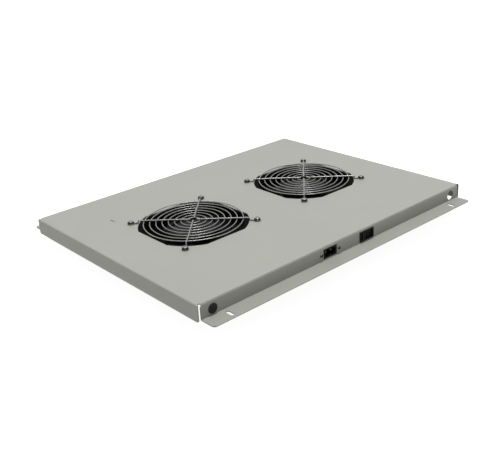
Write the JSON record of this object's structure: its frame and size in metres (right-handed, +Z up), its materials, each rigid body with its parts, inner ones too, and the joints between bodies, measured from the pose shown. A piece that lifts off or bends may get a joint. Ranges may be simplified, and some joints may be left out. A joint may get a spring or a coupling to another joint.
{
  "type": "rack fan tray",
  "caption": "Flanged sheet-metal tray that bolts into a rack cabinet's roof and draws air through guarded axial fans, with a mains inlet and a rocker switch.",
  "frame": {"origin": "under the middle of the tray, at the height of the fans' lower faces", "axes": "+X along the flanged sides, -Y towards the connectors, +Z up through the top plate"},
  "size_m": [0.4172, 0.3504, 0.0442],
  "materials": {
    "powder_coated_steel": "light grey powder coat",
    "fan_frame_plastic": "black moulded",
    "impeller_plastic": "black moulded",
    "blackened_steel": "black coated",
    "bracket_steel": "black coated sheet and tube",
    "rivet_steel": "black coated",
    "core_steel": "laminated",
    "winding_tape": "insulated winding",
    "bearing_steel": "ground",
    "spring_steel": "oiled",
    "cap_plastic": "black moulded",
    "plated_brass": "tinned",
    "guard_chrome": "bright plated wire",
    "zinc_screw_steel": "zinc plated",
    "black_screw_steel": "black oxide",
    "connector_plastic": "black moulded",
    "rocker_plastic": "black moulded",
    "plug_plastic": "black moulded"
  },
  "bodies": {
    "tray": {"tray_pan": "powder_coated_steel", "fan_frame_left": "fan_frame_plastic", "fan_frame_right": "fan_frame_plastic", "motor_bracket_left": "bracket_steel", "motor_bracket_right": "bracket_steel", "bracket_rivets_left": "rivet_steel", "bracket_rivets_right": "rivet_steel", "stator_core_left": "core_steel", "stator_core_right": "core_steel", "stator_windings_left": "winding_tape", "stator_windings_right": "winding_tape", "ball_bearings_left": "bearing_steel", "ball_bearings_right": "bearing_steel", "bearing_cap_left": "cap_plastic", "bearing_cap_right": "cap_plastic", "fan_terminals_left": "plated_brass", "fan_terminals_right": "plated_brass", "inlet_pins": "plated_brass", "switch_terminals": "plated_brass", "fan_guard_left": "guard_chrome", "fan_guard_right": "guard_chrome", "guard_screws_left": "zinc_screw_steel", "guard_screws_right": "zinc_screw_steel", "guard_nuts_left": "zinc_screw_steel", "guard_nuts_right": "zinc_screw_steel", "inlet_screws": "black_screw_steel", "inlet_nuts": "black_screw_steel", "inlet_housing": "connector_plastic", "switch_housing": "connector_plastic", "hole_plug": "plug_plastic"},
    "rotor_left": {"rotor_shaft_left": "bearing_steel", "shaft_clip_left": "spring_steel", "rotor_cup_left": "blackened_steel", "impeller_left": "impeller_plastic"},
    "rotor_right": {"rotor_shaft_right": "bearing_steel", "shaft_clip_right": "spring_steel", "rotor_cup_right": "blackened_steel", "impeller_right": "impeller_plastic"},
    "rocker": {"rocker": "rocker_plastic"}
  },
  "joints": [
    {"name": "fan_left_spin", "type": "hinge", "parent": "tray", "child": "rotor_left", "pos_m": [-0.0888, 0.0024, 0.02], "axis": [0, 0, 1], "continuous": true},
    {"name": "fan_right_spin", "type": "hinge", "parent": "tray", "child": "rotor_right", "pos_m": [0.0936, 0.0024, 0.02], "axis": [0, 0, 1], "continuous": true},
    {"name": "rocker_tilt", "type": "hinge", "parent": "tray", "child": "rocker", "pos_m": [0.0313, -0.1535, 0.0302], "axis": [0, 0, 1], "range_deg": [-16, 0]}
  ]
}
